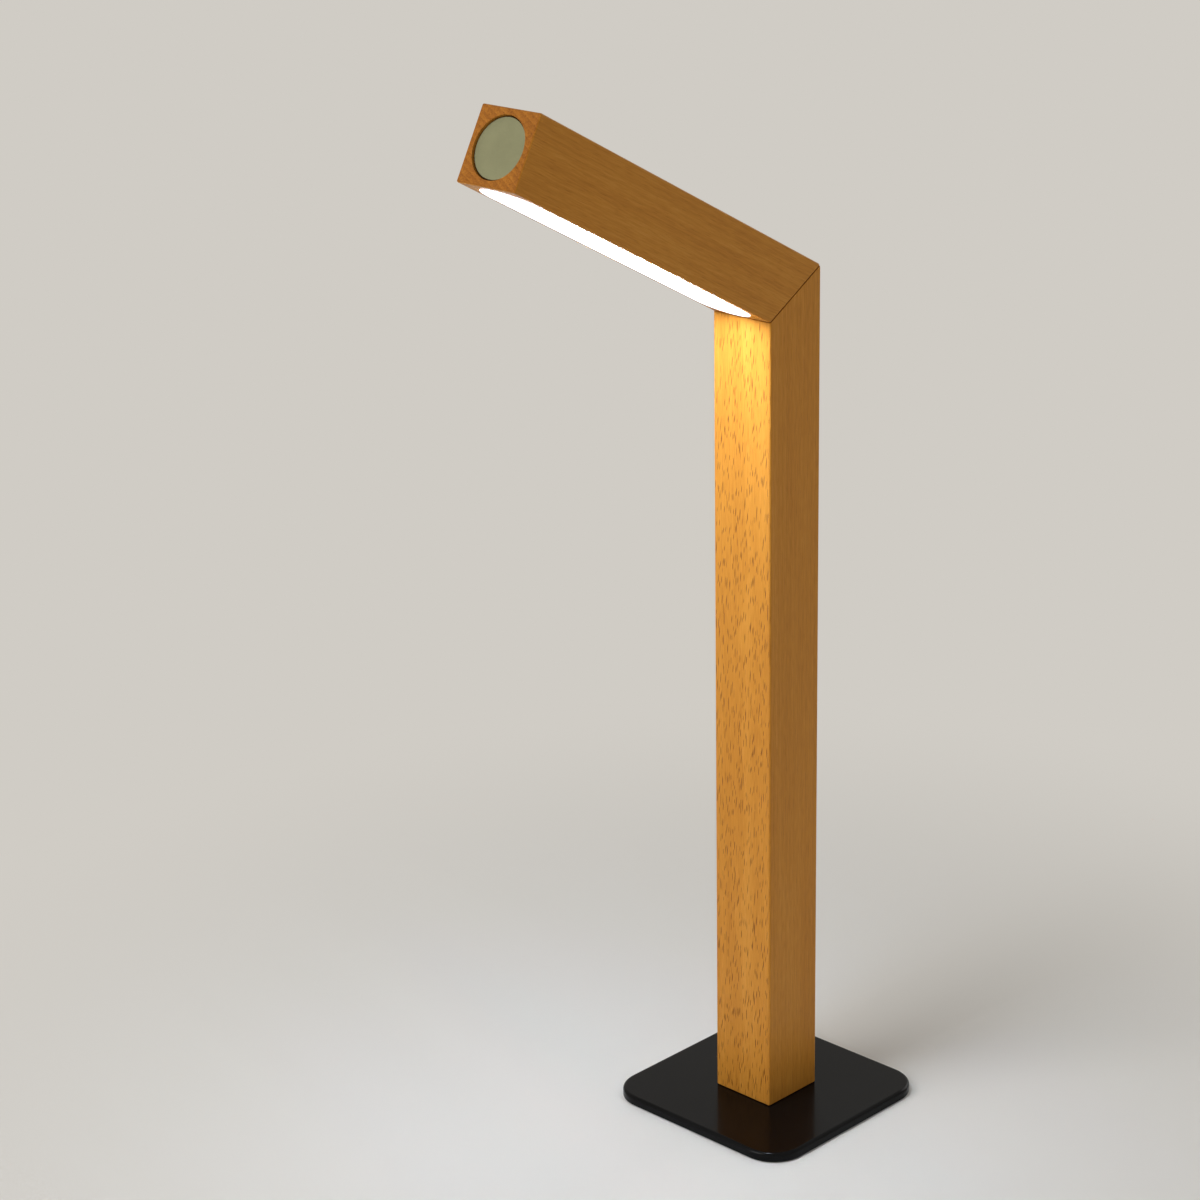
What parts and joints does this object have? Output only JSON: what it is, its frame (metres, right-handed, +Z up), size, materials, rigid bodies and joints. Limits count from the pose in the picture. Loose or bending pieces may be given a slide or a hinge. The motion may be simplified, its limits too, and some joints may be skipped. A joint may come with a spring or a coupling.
{
  "type": "portable table lamp",
  "caption": "Cordless table lamp: square beech post on a flat black base, mitred swivelling beech arm with a lit opal lens along its underside and a push switch in its end.",
  "frame": {"origin": "on the table surface, under the middle of the base", "axes": "+Z up along the post, the arm rises towards -Y, +X to the right of a viewer who faces the end of the arm"},
  "size_m": [0.096, 0.1994, 0.4471],
  "materials": {
    "beech": "satin lacquer over fine straight grain with short flecks",
    "black_steel": "fine matt black powder coat",
    "black_rubber": "matt",
    "zinc_steel": "bright zinc",
    "black_plastic": "fine moulded texture",
    "board_green": "solder mask",
    "board_white": "white solder mask",
    "chip_black": "moulded",
    "socket_steel": "drawn",
    "cell_wrap": "shrink sleeve",
    "foam": "closed-cell foam",
    "nickel": "plain strip",
    "wire_cover": "smooth insulation",
    "slip_ring": "self-lubricating",
    "carrier_aluminium": "mill finish",
    "led_phosphor": "phosphor in white cup",
    "opal": "satin opal diffuser, lit",
    "satin_metal": "bead-blasted satin"
  },
  "bodies": {
    "stand": {"base_plate": "black_steel", "foot_pad": "black_rubber", "base_screws": "zinc_steel", "post": "beech", "power_chassis": "black_plastic", "charge_board": "board_green", "board_screws": "zinc_steel", "board_parts": "chip_black", "usb_shell": "socket_steel", "usb_tongue": "black_plastic", "port_sleeve": "black_plastic", "battery_cell": "cell_wrap", "battery_pads": "foam", "battery_tabs": "nickel", "battery_leads": "wire_cover", "post_wires": "wire_cover", "lower_plate": "zinc_steel", "lower_screws": "zinc_steel", "stop_pin": "zinc_steel", "slip_washer": "slip_ring", "snap_ring": "zinc_steel"},
    "head": {"arm": "beech", "upper_plate": "zinc_steel", "upper_screws": "zinc_steel", "swivel_shaft": "zinc_steel", "lens": "opal", "led_carrier": "carrier_aluminium", "carrier_screws": "zinc_steel", "led_board": "board_white", "leds": "led_phosphor", "head_wires": "wire_cover", "switch_leads": "wire_cover", "button_guide": "black_plastic", "guide_screws": "zinc_steel", "button_spring": "zinc_steel", "switch_body": "black_plastic", "control_board": "board_green"},
    "button": {"button_cap": "satin_metal", "button_clip": "zinc_steel", "switch_plunger": "black_plastic"}
  },
  "joints": [
    {"name": "head_swivel", "type": "hinge", "parent": "stand", "child": "head", "pos_m": [0, 0, 0.35572], "axis": [0, -0.5113, 0.8594], "range_deg": [-150, 180]},
    {"name": "button_press", "type": "slide", "parent": "head", "child": "button", "axis": [0, 0.8788, -0.4772], "range_m": [0, 0.0007], "stiffness_N_per_m": 800, "springref_m": -0.002, "deforming": ["button_spring"]}
  ]
}
